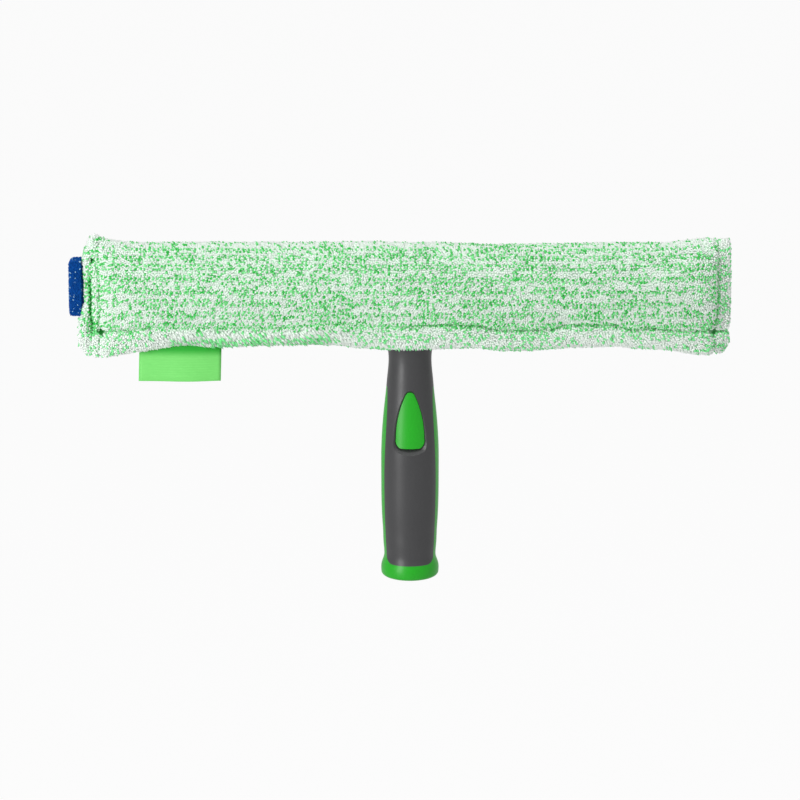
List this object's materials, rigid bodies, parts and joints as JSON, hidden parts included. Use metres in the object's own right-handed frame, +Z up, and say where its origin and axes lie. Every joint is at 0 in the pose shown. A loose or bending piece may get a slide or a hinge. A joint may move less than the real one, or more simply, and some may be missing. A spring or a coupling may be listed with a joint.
{
  "type": "window washer",
  "caption": "T-bar window washer: a pole-mount handle with a release button holds a bar dressed in a lift-off microfibre pile sleeve with a scrub pad and a ribbon tag.",
  "frame": {"origin": "centre of the pole socket's mouth, on the handle's end face", "axes": "+Z up the handle's axis from the socket's mouth to the bar, X along the bar, the face with the release button looks along -Y"},
  "size_m": [0.3584, 0.0326, 0.1886],
  "materials": {
    "green_plastic": "satin moulded plastic",
    "grey_grip": "matt soft-touch moulding",
    "bar_plastic": "fine-textured moulding",
    "cap_rubber": "matt",
    "hook_tape": "moulded hooks",
    "loop_tape": "brushed loops",
    "microfibre": "white and green pile",
    "scrub_fabric": "coarse blue scrub with white specks",
    "tag_ribbon": "woven satin ribbon",
    "latch_plastic": "natural acetal",
    "steel": "zinc plated"
  },
  "bodies": {
    "handle": {"handle_core": "green_plastic", "soft_grip": "grey_grip", "t_bar": "bar_plastic", "end_cap_left": "cap_rubber", "end_cap_right": "cap_rubber", "hook_strip_front_left": "hook_tape", "hook_strip_front_right": "hook_tape", "hook_strip_back_left": "hook_tape", "hook_strip_back_right": "hook_tape", "neck_screws": "steel", "latch_spring": "steel"},
    "button": {"release_button": "green_plastic", "latch_plate": "latch_plastic"},
    "sleeve": {"sleeve_cover": "microfibre", "loop_tape_front_left": "loop_tape", "loop_tape_front_right": "loop_tape", "loop_tape_back_left": "loop_tape", "loop_tape_back_right": "loop_tape", "scrub_pad": "scrub_fabric", "sewn_tag": "tag_ribbon"}
  },
  "joints": [
    {"name": "button_press", "type": "slide", "parent": "handle", "child": "button", "axis": [0, 1, 0], "range_m": [0, 0.0025], "stiffness_N_per_m": 2200, "springref_m": -0.002, "deforming": ["latch_spring"]},
    {"name": "sleeve_lift", "type": "slide", "parent": "handle", "child": "sleeve", "axis": [0, 0, 1], "range_m": [0, 0.06]}
  ]
}
